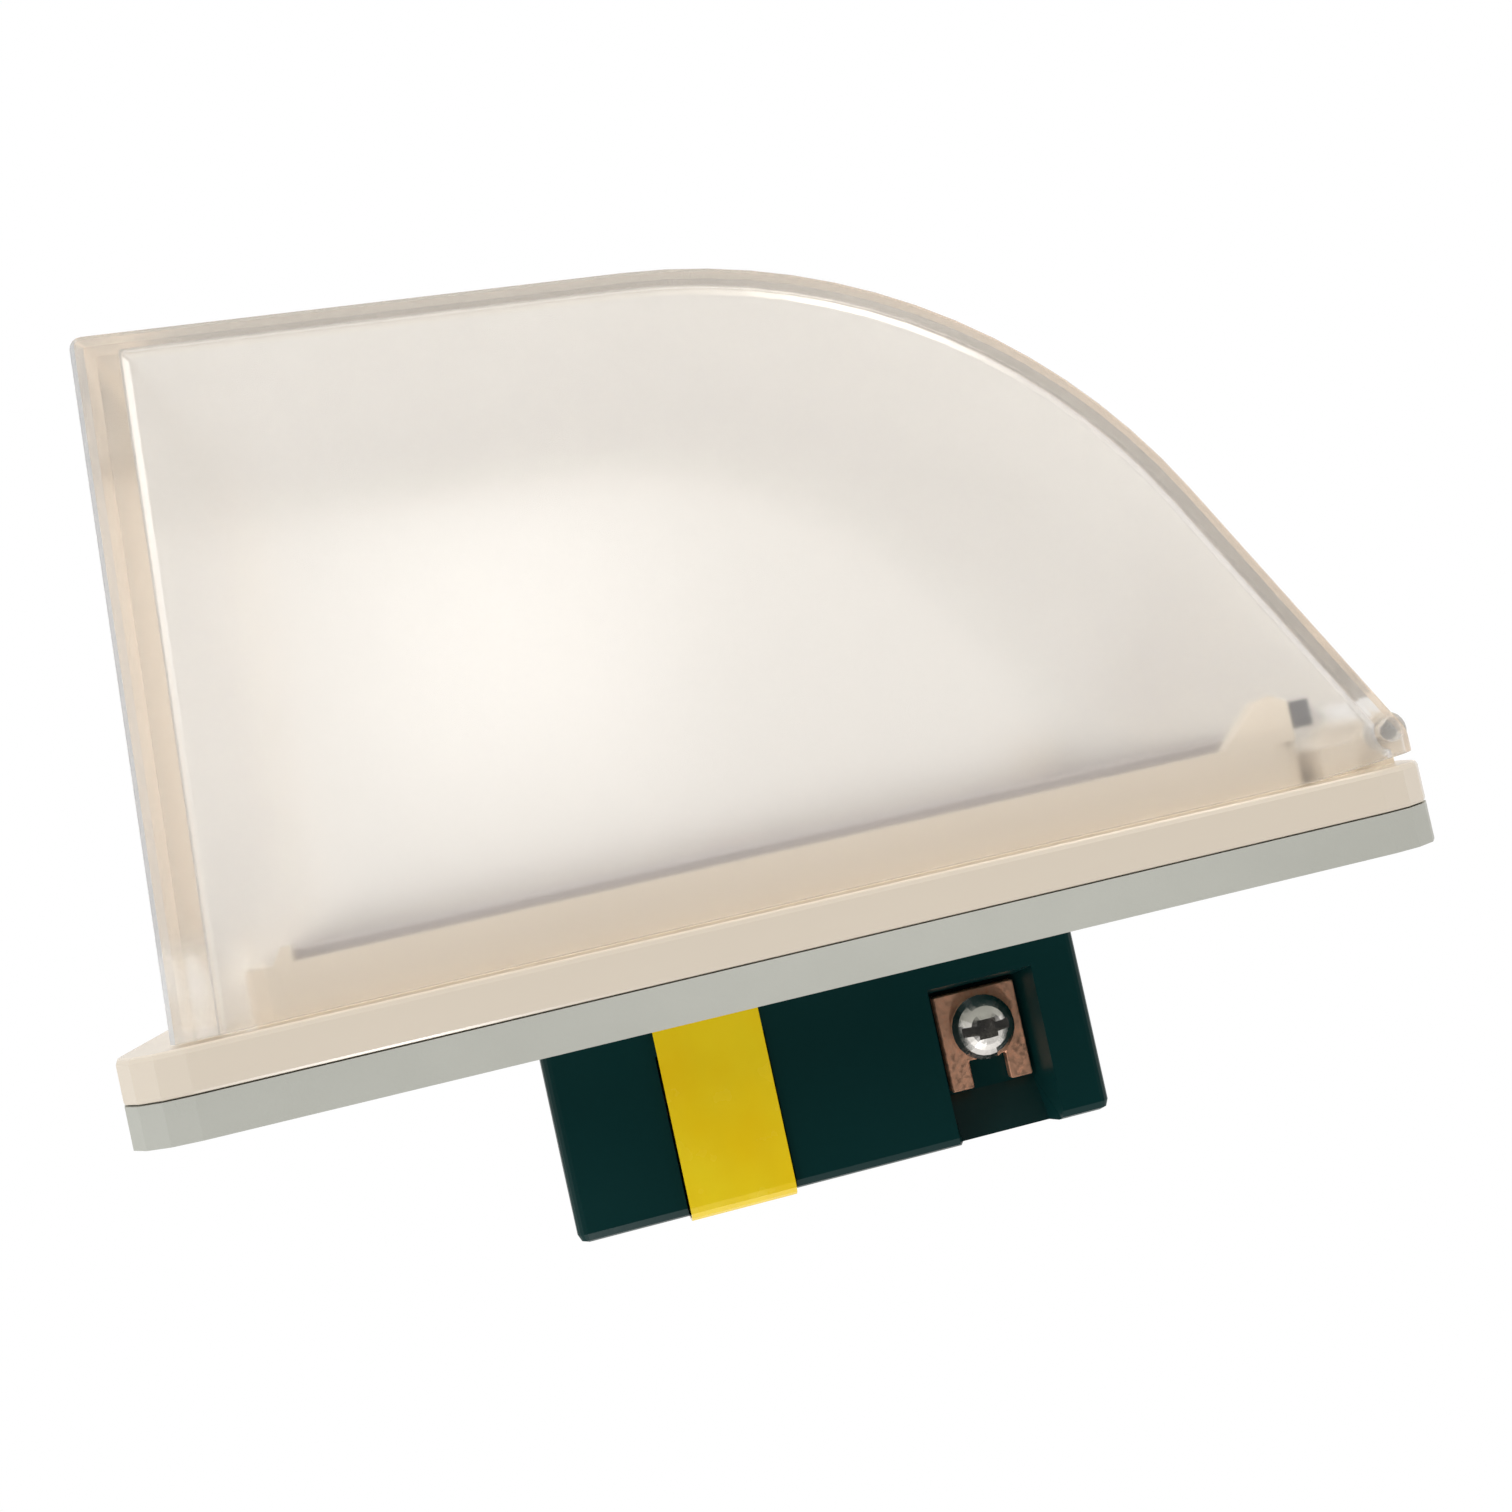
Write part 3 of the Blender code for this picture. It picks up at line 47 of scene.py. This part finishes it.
def make_camera():
    """The camera, close to the +X side and turned so that the object lies on its back in the picture."""
    data = bpy.data.cameras.new("camera")
    data.lens = CAMERA_LENS
    data.sensor_width = CAMERA_SENSOR
    data.clip_start, data.clip_end = CAMERA_CLIP
    camera = bpy.data.objects.new("camera", data)
    camera.matrix_world = Matrix.Translation(CAMERA_AT) @ aimed(CAMERA_FORWARD, CAMERA_UP)
    bpy.context.scene.collection.objects.link(camera)
    bpy.context.scene.camera = camera


# ---------------------------------------------------------------- colour nodes

# The sockets that a Mix node uses for colours: its share, its two colours, and its result.
MIX_SHARE, MIX_FIRST, MIX_SECOND, MIX_RESULT = 0, 6, 7, 2


def fill_ramp(ramp, stops):
    """Gives a colour ramp its stops, each a place with a colour or a grey value."""
    while len(ramp.elements) < len(stops):
        ramp.elements.new(0.5)
    for element, (at, value) in zip(ramp.elements, stops):
        element.position = at
        element.color = (*value, 1.0) if isinstance(value, tuple) else (value, value, value, 1.0)


# ---------------------------------------------------------------- stage

FLOOR_Z = -0.85
FLOOR_RADIUS = 1.2
FLOOR_SEGMENTS = 96

# The direction in which the world is dark, because flat sides mirror it to the camera.
DARK_SIDE = (0.9866, -0.02, 0.1623)
# The world's brightness, from opposite the dark side (0) round to it (1).
SKY = [
    (0.0, 0.84), (0.20, 0.84), (0.38, 0.90), (0.52, 0.96),
    (0.64, 1.15), (0.78, 1.15), (0.91, 0.05), (1.0, 0.03),
]
SKY_TINT = (1.0, 0.985, 0.965)

WHITE = (1.0, 1.0, 1.0)
LAMP_UP = Vector((0.0, 0.05, 1.0))
# Each lamp's name, place, the point that it faces, side, power in watts and colour.
LAMPS = [
    ("key", (0.45, -0.60, 0.35), (0.0, -0.03, 0.0), 0.18, 1.8, (1.0, 0.95, 0.88)),
    ("fill", (0.45, -0.25, -0.65), (0.0, -0.01, 0.0), 0.20, 1.4, WHITE),
    ("low", (0.45, 0.55, -0.10), (0.0, 0.01, 0.0), 0.06, 1.1, WHITE),
    ("glow", (-0.55, -0.113, -0.007), (0.0, -0.06, -0.01), 0.14, 0.022, WHITE),
]


def square_lamp(name, at, towards, side, power, colour):
    """A square area lamp that faces a point and that the camera doesn't see."""
    data = bpy.data.lights.new(name, "AREA")
    data.shape = "SQUARE"
    data.size = side
    data.energy = power
    data.color = colour
    lamp = bpy.data.objects.new(name, data)
    at = Vector(at)
    lamp.matrix_world = Matrix.Translation(at) @ aimed(Vector(towards) - at, LAMP_UP)
    lamp.visible_camera = False
    bpy.context.scene.collection.objects.link(lamp)


def studio():
    """A world that is white to look at, and that lights from all round but the dark side."""
    world = bpy.data.worlds.new("studio")
    world.use_nodes = True
    tree = world.node_tree
    place = tree.nodes.new("ShaderNodeTexCoord").outputs["Generated"]
    facing = tree.nodes.new("ShaderNodeVectorMath")
    facing.operation = "DOT_PRODUCT"
    facing.inputs[1].default_value = DARK_SIDE
    tree.links.new(place, facing.inputs[0])

    # The dot product runs from -1 to 1, and a ramp from 0 to 1.
    share = tree.nodes.new("ShaderNodeMath")
    share.operation = "MULTIPLY_ADD"
    share.inputs[1].default_value = share.inputs[2].default_value = 0.5
    tree.links.new(facing.outputs["Value"], share.inputs[0])
    spread = tree.nodes.new("ShaderNodeValToRGB")
    fill_ramp(spread.color_ramp, [(at, tuple(value * tint for tint in SKY_TINT)) for at, value in SKY])
    tree.links.new(share.outputs["Value"], spread.inputs["Fac"])

    seen = tree.nodes.new("ShaderNodeLightPath").outputs["Is Camera Ray"]
    choice = tree.nodes.new("ShaderNodeMix")
    choice.data_type = "RGBA"
    choice.inputs[MIX_SECOND].default_value = (*WHITE, 1.0)
    tree.links.new(seen, choice.inputs[MIX_SHARE])
    tree.links.new(spread.outputs["Color"], choice.inputs[MIX_FIRST])
    tree.links.new(choice.outputs[MIX_RESULT], tree.nodes["Background"].inputs["Color"])
    return world


def make_floor():
    """A matt white disc, far enough below that it only sends light up."""
    shape = bmesh.new()
    bmesh.ops.create_circle(shape, cap_ends=True, segments=FLOOR_SEGMENTS, radius=FLOOR_RADIUS)
    mesh = bpy.data.meshes.new("floor")
    shape.to_mesh(mesh)
    shape.free()
    paint = Paint("floor_paint")
    paint.set(roughness=0.8)
    paint.colour(paint.noise(40.0, 3), [(0.3, (0.90, 0.90, 0.89)), (0.7, (0.92, 0.92, 0.91))])
    mesh.materials.append(paint.material)
    floor = bpy.data.objects.new("floor", mesh)
    floor.location = (0.0, 0.0, FLOOR_Z)
    bpy.context.scene.collection.objects.link(floor)


def make_stage():
    scene = bpy.context.scene
    scene.view_settings.view_transform = "Standard"
    scene.view_settings.look = "None"
    scene.world = studio()
    make_floor()
    for lamp in LAMPS:
        square_lamp(*lamp)


# ---------------------------------------------------------------- materials

class Paint:
    """A Principled material with short calls for patterns that drive its sockets."""

    SOCKETS = {
        "roughness": "Roughness",
        "metallic": "Metallic",
        "ior": "IOR",
        "coat": "Coat Weight",
        "coat_roughness": "Coat Roughness",
        "transmission": "Transmission Weight",
        "specular": "Specular IOR Level",
    }

    def __init__(self, name):
        self.material = bpy.data.materials.new(name)
        self.material.use_nodes = True
        self.tree = self.material.node_tree
        self.shader = self.tree.nodes["Principled BSDF"]
        self.output = self.tree.nodes["Material Output"]
        self.place = self.node("ShaderNodeTexCoord").outputs["Object"]

    def node(self, kind, **settings):
        made = self.tree.nodes.new(kind)
        for key, value in settings.items():
            setattr(made, key, value)
        return made

    def link(self, source, target):
        self.tree.links.new(source, target)

    def set(self, base=None, **values):
        """Sets sockets to plain values, which also stand in where their pattern can't be shown."""
        if base:
            self.shader.inputs["Base Color"].default_value = (*base, 1.0)
        for key, value in values.items():
            self.shader.inputs[self.SOCKETS[key]].default_value = value

    def stretched(self, scale):
        """The object's coordinates, scaled along each axis."""
        mapping = self.node("ShaderNodeMapping")
        mapping.inputs["Scale"].default_value = scale
        self.link(self.place, mapping.inputs["Vector"])
        return mapping.outputs["Vector"]

    def noise(self, scale, detail, roughness=0.5, stretch=None):
        """Noise in the object's coordinates, which a stretch can draw out into streaks."""
        made = self.node("ShaderNodeTexNoise")
        made.inputs["Scale"].default_value = scale
        made.inputs["Detail"].default_value = detail
        made.inputs["Roughness"].default_value = roughness
        self.link(self.stretched(stretch) if stretch else self.place, made.inputs["Vector"])
        return made.outputs["Fac"]

    def ramp(self, source, stops):
        made = self.node("ShaderNodeValToRGB")
        fill_ramp(made.color_ramp, stops)
        self.link(source, made.inputs["Fac"])
        return made.outputs["Color"]

    def colour(self, source, stops):
        self.link(self.ramp(source, stops), self.shader.inputs["Base Color"])

    def roughness(self, source, stops):
        self.link(self.ramp(source, stops), self.shader.inputs["Roughness"])

    def bump(self, source, strength, distance):
        made = self.node("ShaderNodeBump")
        made.inputs["Strength"].default_value = strength
        made.inputs["Distance"].default_value = distance
        self.link(source, made.inputs["Height"])
        self.link(made.outputs["Normal"], self.shader.inputs["Normal"])

    def parts(self, vector):
        """The X, Y and Z of a vector."""
        made = self.node("ShaderNodeSeparateXYZ")
        self.link(vector, made.inputs["Vector"])
        return made.outputs

    def mixed(self, share, first, second):
        """Two colours mixed, the second where share is 1."""
        made = self.node("ShaderNodeMix", data_type="RGBA")
        for index, source in ((MIX_SHARE, share), (MIX_FIRST, first), (MIX_SECOND, second)):
            if isinstance(source, tuple):
                made.inputs[index].default_value = (*source, 1.0)
            else:
                self.link(source, made.inputs[index])
        return made.outputs[MIX_RESULT]

    def math(self, operation, a, b=None, c=None):
        """A sum on values and sockets."""
        made = self.node("ShaderNodeMath", operation=operation)
        for socket, value in zip(made.inputs, (a, b, c)):
            if isinstance(value, (int, float)):
                socket.default_value = value
            elif value is not None:
                self.link(value, socket)
        return made.outputs["Value"]

    def lamps_pass(self, share):
        """Lets a share of the lamps' light through to what is behind."""
        path = self.node("ShaderNodeLightPath").outputs["Is Shadow Ray"]
        clear = self.node("ShaderNodeBsdfTransparent")
        clear.inputs["Color"].default_value = (share, share, share, 1.0)
        mix = self.node("ShaderNodeMixShader")
        self.link(path, mix.inputs["Fac"])
        self.link(self.shader.outputs["BSDF"], mix.inputs[1])
        self.link(clear.outputs["BSDF"], mix.inputs[2])
        self.link(mix.outputs["Shader"], self.output.inputs["Surface"])


# A ramp runs from 0 to 1, so the length that drives the frosted cover's ramp is in decimetres.
DECIMETRES = 10.0

FROSTED_WHITE = (0.99, 0.98, 0.965)
# Painted light on the cover's rounded edges, from those that face down (0) to those that face up (1): a
# painted blue-grey refraction tint facing down, painted olive shade facing sideways, a painted peach
# highlight facing up.
PAINTED_EDGE_LIGHT = [
    (0.10, (0.62, 0.68, 0.78)), (0.35, (0.52, 0.47, 0.38)), (0.55, (0.50, 0.44, 0.33)),
    (0.72, (0.86, 0.58, 0.32)), (1.0, (0.94, 0.62, 0.32)),
]

# How much light the flat walls let through, and how much less the rounded edges do.
CLEAR_WALL = 0.90
EDGE_LOSS = 0.45
THICKNESS_TINT = (0.995, 0.90, 0.77)
THICKNESS_DENSITY = 15.0


def frosted():
    """Frosted plastic: white where it is flat, with painted highlight, shade and refraction tints along its
    rounded edges, and warm where it is thick.
    """
    paint = Paint("frosted_cover")
    paint.set(roughness=0.25, ior=1.5, transmission=CLEAR_WALL)
    normal = paint.parts(paint.node("ShaderNodeNewGeometry").outputs["Normal"])
    place = paint.parts(paint.place)

    # An edge is where the surface turns away from the sides, near the cover's outer sides.
    sideways = paint.math("ABSOLUTE", normal["X"])
    rounded = paint.ramp(sideways, [(0.0, 1.0), (0.70, 0.65), (0.94, 0.15), (0.99, 0.0)])
    off_centre = paint.math("MULTIPLY", paint.math("ABSOLUTE", place["X"]), DECIMETRES)
    outer = paint.ramp(off_centre, [(0.425, 0.0), (0.44, 1.0)])
    edge = paint.math("MULTIPLY", rounded, outer)

    # The edges' colour is painted light set by which way they face: blue-grey refraction below, olive shade
    # at the sides, a peach highlight above.
    upward = paint.math("MULTIPLY_ADD", normal["Z"], 0.5, 0.5)
    colour_with_painted_edge_light = paint.mixed(edge, FROSTED_WHITE, paint.ramp(upward, PAINTED_EDGE_LIGHT))
    paint.link(colour_with_painted_edge_light, paint.shader.inputs["Base Color"])
    passed = paint.math("MULTIPLY_ADD", edge, -EDGE_LOSS, CLEAR_WALL)
    paint.link(passed, paint.shader.inputs["Transmission Weight"])

    paint.roughness(paint.noise(60.0, 3), [(0.3, 0.235), (0.7, 0.265)])
    paint.bump(paint.noise(5000.0, 2), 0.06, 0.0001)
    absorb = paint.node("ShaderNodeVolumeAbsorption")
    absorb.inputs["Color"].default_value = (*THICKNESS_TINT, 1.0)
    absorb.inputs["Density"].default_value = THICKNESS_DENSITY
    paint.link(absorb.outputs["Volume"], paint.output.inputs["Volume"])
    paint.lamps_pass(0.9)
    return paint.material


def moulded(name, base, roughness, variation, coat=0.0, peel=0.05, specular=0.5):
    """Moulded plastic: faint mottling, an orange-peel skin, and uneven gloss."""
    paint = Paint(name)
    paint.set(base=base, roughness=roughness, coat=coat, coat_roughness=0.08, ior=1.5, specular=specular)
    low = tuple(c * (1.0 - variation) for c in base)
    high = tuple(min(1.0, c * (1.0 + variation)) for c in base)
    paint.colour(paint.noise(18.0, 2), [(0.2, low), (0.8, high)])
    paint.roughness(paint.noise(60.0, 2), [(0.2, roughness * 0.9), (0.8, roughness * 1.15)])
    paint.bump(paint.noise(900.0, 2), peel, 0.0002)
    return paint.material


def metal(name, base, roughness, brushed=(1.0, 1.0, 1.0), variation=0.1):
    """Metal with streaks that are longest along the axis where brushed is least."""
    paint = Paint(name)
    paint.set(base=base, roughness=roughness, metallic=1.0)
    low = tuple(c * (1.0 - variation) for c in base)
    paint.colour(paint.noise(500.0, 4, 0.6, brushed), [(0.3, low), (0.65, base)])
    paint.roughness(paint.noise(1500.0, 3, 0.6, brushed), [(0.3, roughness * 0.7), (0.7, roughness * 1.4)])
    paint.bump(paint.noise(2500.0, 2, 0.5, brushed), 0.06, 0.0001)
    return paint.material


def foam():
    """The gasket's grey foam rubber, clouded along its length."""
    paint = Paint("grey_rubber")
    paint.set(base=(0.50, 0.51, 0.465), roughness=0.55)
    clouds = paint.noise(30.0, 4, 0.5, (1.0, 1.0, 0.35))
    paint.colour(clouds, [(0.25, (0.44, 0.45, 0.41)), (0.75, (0.55, 0.56, 0.515))])
    paint.roughness(paint.noise(200.0, 3), [(0.3, 0.45), (0.7, 0.65)])
    paint.bump(paint.noise(2600.0, 3, 0.6), 0.15, 0.0002)
    return paint.material


def tape():
    """Glossy yellow tape, slightly wavy."""
    paint = Paint("yellow_tape")
    paint.set(base=(0.99, 0.78, 0.01), roughness=0.22, coat=0.6, coat_roughness=0.05)
    paint.colour(paint.noise(90.0, 3), [(0.3, (1.0, 0.68, 0.008)), (0.7, (1.0, 0.75, 0.015))])
    paint.roughness(paint.noise(250.0, 3), [(0.3, 0.16), (0.7, 0.30)])
    paint.bump(paint.noise(130.0, 2, 0.5, (1.0, 0.35, 1.0)), 0.5, 0.0012)
    return paint.material


BOARD_GREEN = (0.02, 0.16, 0.06)
BOARD_LIGHTER = (0.03, 0.20, 0.08)
BOARD_TRACE = (0.10, 0.30, 0.12)


def board():
    """A green circuit board with a pattern of traces."""
    paint = Paint("board")
    paint.set(base=BOARD_GREEN, roughness=0.35, coat=0.3)
    traces = paint.node("ShaderNodeTexBrick")
    traces.inputs["Scale"].default_value = 300.0
    traces.inputs["Mortar Size"].default_value = 0.03
    for socket, colour in (("Color1", BOARD_GREEN), ("Color2", BOARD_LIGHTER), ("Mortar", BOARD_TRACE)):
        traces.inputs[socket].default_value = (*colour, 1.0)
    mapping = paint.node("ShaderNodeMapping")
    mapping.inputs["Rotation"].default_value = (math.pi / 2, 0.0, 0.0)
    paint.link(paint.place, mapping.inputs["Vector"])
    paint.link(mapping.outputs["Vector"], traces.inputs["Vector"])
    paint.link(traces.outputs["Color"], paint.shader.inputs["Base Color"])
    paint.bump(traces.outputs["Fac"], 0.2, 0.0001)
    return paint.material


def lens():
    """The indicator's clear green plastic."""
    paint = Paint("lens")
    paint.set(base=(0.25, 0.85, 0.35), roughness=0.08, ior=1.5, transmission=0.8)
    paint.roughness(paint.noise(900.0, 2), [(0.3, 0.05), (0.7, 0.14)])
    paint.lamps_pass(0.7)
    return paint.material


def make_looks():
    """The material of each of the record's material slots."""
    return {
        "frosted_cover": frosted(),
        "cream_plastic": moulded("cream_plastic", (0.76, 0.68, 0.575), 0.22, 0.02, peel=0.01),
        "grey_rubber": foam(),
        "dark_rubber": moulded("dark_rubber", (0.045, 0.047, 0.06), 0.6, 0.2, peel=0.1),
        "green_plastic": moulded("green_plastic", (0.003, 0.030, 0.030), 0.32, 0.25, specular=0.16),
        "yellow_tape": tape(),
        "copper": metal("copper", (0.90, 0.52, 0.35), 0.55, (0.2, 1.0, 1.0)),
        "nickel": metal("nickel", (0.74, 0.72, 0.69), 0.20, variation=0.15),
        "brass": metal("brass", (0.78, 0.58, 0.27), 0.28, (1.0, 1.0, 0.2)),
        "steel": metal("steel", (0.62, 0.63, 0.64), 0.32, (1.0, 1.0, 0.15)),
        "green_zinc": metal("green_zinc", (0.05, 0.38, 0.16), 0.30),
        "black_plastic": moulded("black_plastic", (0.018, 0.018, 0.020), 0.35, 0.2),
        "red_plastic": moulded("red_plastic", (0.55, 0.025, 0.02), 0.30, 0.08),
        "lens": lens(),
        "board": board(),
        "blue_epoxy": moulded("blue_epoxy", (0.03, 0.08, 0.40), 0.25, 0.15, coat=0.5),
        "amber_film": moulded("amber_film", (0.62, 0.34, 0.05), 0.25, 0.10, coat=0.5),
    }


def dress():
    """Gives every node the material of its slot. The seal on the rim is a lighter rubber than the pads."""
    looks = make_looks()
    seal_look = moulded("seal_rubber", (0.30, 0.27, 0.28), 0.6, 0.1, peel=0.1)
    for part in frame["record"]["subparts"]:
        mesh = frame["nodes"][part["node"]].data
        mesh.materials.clear()
        mesh.materials.append(seal_look if part["node"] == "rim_seal" else looks[part["material_slot"]])


make_camera()
make_stage()
dress()
